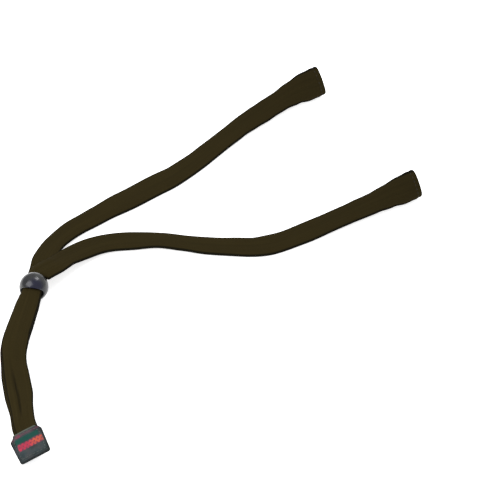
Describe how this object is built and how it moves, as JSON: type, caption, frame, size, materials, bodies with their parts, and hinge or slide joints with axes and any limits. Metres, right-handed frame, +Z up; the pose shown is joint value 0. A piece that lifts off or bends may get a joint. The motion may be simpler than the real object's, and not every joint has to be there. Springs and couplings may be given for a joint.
{
  "type": "eyeglass retainer strap",
  "caption": "Eyeglass retainer: knitted tube bands with flared temple sleeves, a slider bead that sets the loop, and a woven label joining the tail ends.",
  "frame": {"origin": "centre of the strap's plan outline, on the surface it lies on", "axes": "+Z up, +Y towards the eyeglasses, along which the temple sleeves point, +X the wearer's right"},
  "size_m": [0.2379, 0.3356, 0.021],
  "materials": {
    "knit": "matt dark olive-brown cotton knit",
    "thread": "matt near-black spun sewing thread",
    "bead": "semi-gloss dark grey moulded plastic",
    "label": "dark grey-green woven tape with a red woven motif",
    "label_thread": "matt dark sewing thread"
  },
  "bodies": {
    "grip": {"left_grip_band": "knit", "right_grip_band": "knit"},
    "bead": {"slider_bead": "bead"},
    "left_arm": {"left_arm_band": "knit"},
    "right_arm": {"right_arm_band": "knit"},
    "left_sleeve": {"left_temple_sleeve": "knit", "left_hem_thread": "thread"},
    "right_sleeve": {"right_temple_sleeve": "knit", "right_hem_thread": "thread"},
    "tail": {"left_tail_band": "knit", "right_tail_band": "knit"},
    "label": {"left_tail_tip": "knit", "right_tail_tip": "knit", "end_label": "label", "label_needle_thread": "label_thread", "label_bobbin_thread": "label_thread", "tail_joining_seam": "thread"}
  },
  "joints": [
    {"name": "bead_slide", "type": "slide", "parent": "grip", "child": "bead", "axis": [0.7902, -0.6129, 0], "range_m": [0, 0.034]},
    {"name": "left_arm_swing", "type": "hinge", "parent": "grip", "child": "left_arm", "pos_m": [-0.03184, -0.08595, 0.0061], "axis": [0, 0, 1], "range_deg": [-1, 22]},
    {"name": "right_arm_swing", "type": "hinge", "parent": "grip", "child": "right_arm", "pos_m": [-0.02485, -0.08128, 0.011], "axis": [0, 0, -1], "range_deg": [-1, 22]},
    {"name": "left_sleeve_swing", "type": "hinge", "parent": "left_arm", "child": "left_sleeve", "pos_m": [-0.10953, 0.12419, 0.0043], "axis": [0, 0, -1], "range_deg": [-15, 35]},
    {"name": "right_sleeve_swing", "type": "hinge", "parent": "right_arm", "child": "right_sleeve", "pos_m": [0.01412, 0.12344, 0.0042], "axis": [0, 0, 1], "range_deg": [-15, 35]},
    {"name": "tail_swing", "type": "hinge", "parent": "grip", "child": "tail", "pos_m": [0.02641, -0.13087, 0.0087], "axis": [0, 0, 1], "range_deg": [-30, 30]},
    {"name": "label_lift", "type": "hinge", "parent": "tail", "child": "label", "pos_m": [0.09305, -0.15562, 0.0075], "axis": [-0.1565, -0.9381, -0.309], "range_deg": [0, 60]}
  ]
}
